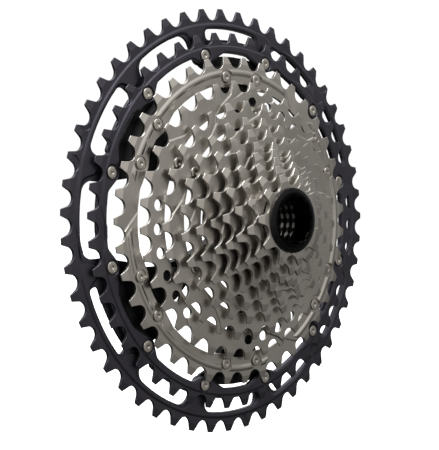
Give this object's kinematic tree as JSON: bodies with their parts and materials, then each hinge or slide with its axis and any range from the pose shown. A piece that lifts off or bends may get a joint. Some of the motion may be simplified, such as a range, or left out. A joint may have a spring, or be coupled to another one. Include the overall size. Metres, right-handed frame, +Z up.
{
  "type": "bicycle cassette",
  "caption": "Rear cassette of stacked sprockets, riveted to an alloy spider and slid on a splined freehub body, with spacers and a screw-in lockring.",
  "frame": {"origin": "on the spin axis, in the plane where the spider's hub seats against the shoulder of the freehub body", "axes": "Y along the spin axis, -Y outboard towards the smallest sprocket and the lockring, +Y inboard towards the wheel's spokes, +Z up"},
  "size_m": [0.2098, 0.0454, 0.2097],
  "materials": {
    "dark_anodised": "satin",
    "black_anodised": "satin",
    "nickel_steel": "satin",
    "rivet_steel": "satin",
    "washer_steel": "satin",
    "gloss_black": "gloss"
  },
  "bodies": {
    "cassette": {"sprocket_51t": "dark_anodised", "sprocket_45t": "dark_anodised", "sprocket_39t": "nickel_steel", "sprocket_33t": "nickel_steel", "sprocket_28t": "nickel_steel", "sprocket_24t": "nickel_steel", "sprocket_21t": "nickel_steel", "sprocket_18t": "nickel_steel", "sprocket_16t": "nickel_steel", "sprocket_14t": "nickel_steel", "sprocket_12t": "nickel_steel", "sprocket_10t": "nickel_steel", "beam_spider": "black_anodised", "spacer_24_28": "nickel_steel", "spacer_21_24": "nickel_steel", "spacer_18_21": "nickel_steel", "spacer_16_18": "nickel_steel", "spacer_14_16": "nickel_steel", "outer_rivet_01": "rivet_steel", "outer_rivet_02": "rivet_steel", "outer_rivet_03": "rivet_steel", "outer_rivet_04": "rivet_steel", "outer_rivet_05": "rivet_steel", "outer_rivet_06": "rivet_steel", "outer_rivet_07": "rivet_steel", "outer_rivet_08": "rivet_steel", "outer_rivet_09": "rivet_steel", "outer_rivet_10": "rivet_steel", "outer_rivet_11": "rivet_steel", "outer_rivet_12": "rivet_steel", "inner_rivet_01": "rivet_steel", "inner_rivet_02": "rivet_steel", "inner_rivet_03": "rivet_steel", "inner_rivet_04": "rivet_steel", "inner_rivet_05": "rivet_steel", "inner_rivet_06": "rivet_steel", "inner_rivet_07": "rivet_steel", "inner_rivet_08": "rivet_steel", "inner_rivet_09": "rivet_steel", "inner_rivet_10": "rivet_steel", "inner_rivet_11": "rivet_steel", "inner_rivet_12": "rivet_steel", "rivet_33t_01": "rivet_steel", "rivet_33t_02": "rivet_steel", "rivet_33t_03": "rivet_steel", "rivet_33t_04": "rivet_steel", "rivet_33t_05": "rivet_steel", "rivet_33t_06": "rivet_steel", "rivet_28t_01": "rivet_steel", "rivet_28t_02": "rivet_steel", "rivet_28t_03": "rivet_steel", "rivet_28t_04": "rivet_steel", "rivet_28t_05": "rivet_steel", "rivet_28t_06": "rivet_steel"},
    "washer": {"lockring_washer": "washer_steel"},
    "lockring": {"lockring": "gloss_black"}
  },
  "joints": [
    {"name": "lockring_travel", "type": "slide", "parent": "cassette", "child": "washer", "axis": [0, -1, 0], "range_m": [0, 0.006]},
    {"name": "lockring_turn", "type": "hinge", "parent": "washer", "child": "lockring", "pos_m": [0, -0.0402, 0], "axis": [0, -1, 0], "range_deg": [0, 2160]}
  ],
  "couplings": [
    {"joint": "lockring_travel", "follows": "lockring_turn", "m_per_rad": 0.00015915}
  ]
}
